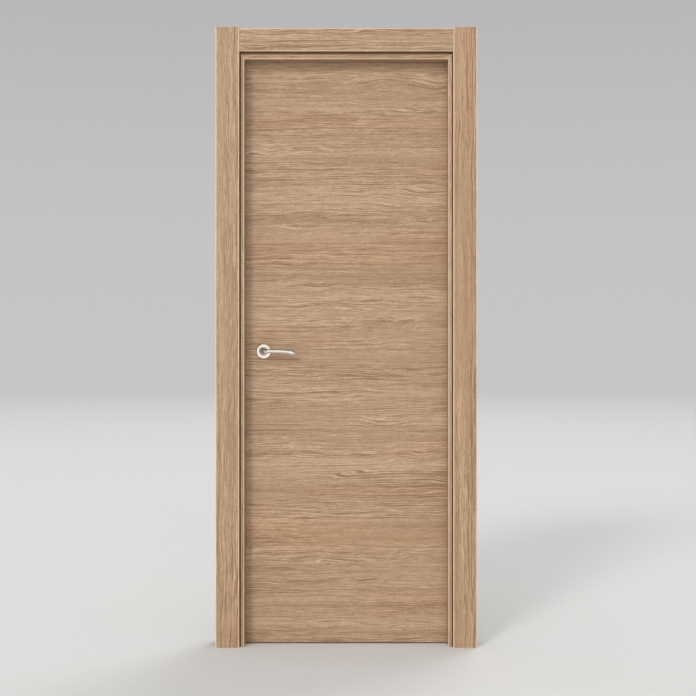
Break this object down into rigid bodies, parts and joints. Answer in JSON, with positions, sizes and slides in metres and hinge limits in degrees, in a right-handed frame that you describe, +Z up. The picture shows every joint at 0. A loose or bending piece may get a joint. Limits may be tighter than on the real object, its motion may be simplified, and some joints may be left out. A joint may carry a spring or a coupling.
{
  "type": "oak door with frame",
  "caption": "Flush oak-faced door leaf with horizontal grain, hung in a rebated frame with flat architraves, with a sprung lever handle on both faces.",
  "frame": {"origin": "on the hinge jamb's face that bears on the wall, at floor level, half way through the frame's depth", "axes": "+X out of that face, away from the opening; +Y through the wall, the way the leaf opens; +Z up"},
  "size_m": [0.917, 0.1503, 2.1327],
  "materials": {
    "leaf_oak": "oak veneer with horizontal grain, satin lacquer",
    "lipping_oak": "solid oak edge, satin lacquer",
    "core_timber": "raw sawn softwood",
    "jamb_oak": "oak with lengthwise grain, satin lacquer",
    "architrave_oak": "oak with lengthwise grain, satin lacquer",
    "seal_rubber": "matte brown rubber",
    "hinge_steel": "satin nickel-plated steel",
    "latch_steel": "brushed steel",
    "lever_chrome": "polished chrome"
  },
  "bodies": {
    "door_frame": {"hinge_jamb": "jamb_oak", "lock_jamb": "jamb_oak", "head_jamb": "jamb_oak", "hinge_stop": "jamb_oak", "lock_stop": "jamb_oak", "head_stop": "jamb_oak", "hinge_seal": "seal_rubber", "lock_seal": "seal_rubber", "head_seal": "seal_rubber", "strike": "latch_steel", "front_hinge_architrave": "architrave_oak", "front_lock_architrave": "architrave_oak", "front_head_architrave": "architrave_oak", "back_hinge_architrave": "architrave_oak", "back_lock_architrave": "architrave_oak", "back_head_architrave": "architrave_oak", "bottom_hinge_jamb_half": "hinge_steel", "middle_hinge_jamb_half": "hinge_steel", "top_hinge_jamb_half": "hinge_steel", "bottom_hinge_pin": "hinge_steel", "middle_hinge_pin": "hinge_steel", "top_hinge_pin": "hinge_steel"},
    "leaf": {"front_face": "leaf_oak", "back_face": "leaf_oak", "lock_stile": "core_timber", "hinge_stile": "core_timber", "bottom_rail": "core_timber", "top_rail": "core_timber", "core": "core_timber", "lock_lipping": "lipping_oak", "hinge_lipping": "lipping_oak", "top_lipping": "lipping_oak", "latch_case": "latch_steel", "latch_faceplate": "latch_steel", "latch_bolt": "latch_steel", "front_rose": "lever_chrome", "back_rose": "lever_chrome", "bottom_hinge_leaf_half": "hinge_steel", "middle_hinge_leaf_half": "hinge_steel", "top_hinge_leaf_half": "hinge_steel"},
    "lever": {"front_lever": "lever_chrome", "back_lever": "lever_chrome", "spindle": "latch_steel"}
  },
  "joints": [
    {"name": "leaf_swing", "type": "hinge", "parent": "door_frame", "child": "leaf", "pos_m": [-0.021, 0.0535, 0.005], "axis": [0, 0, -1], "range_deg": [0, 170]},
    {"name": "lever_turn", "type": "hinge", "parent": "leaf", "child": "lever", "pos_m": [-0.6735, 0.027, 1.018], "axis": [0, 1, 0], "range_deg": [0, 45], "stiffness_Nm_per_rad": 1, "springref_deg": -28.65}
  ]
}
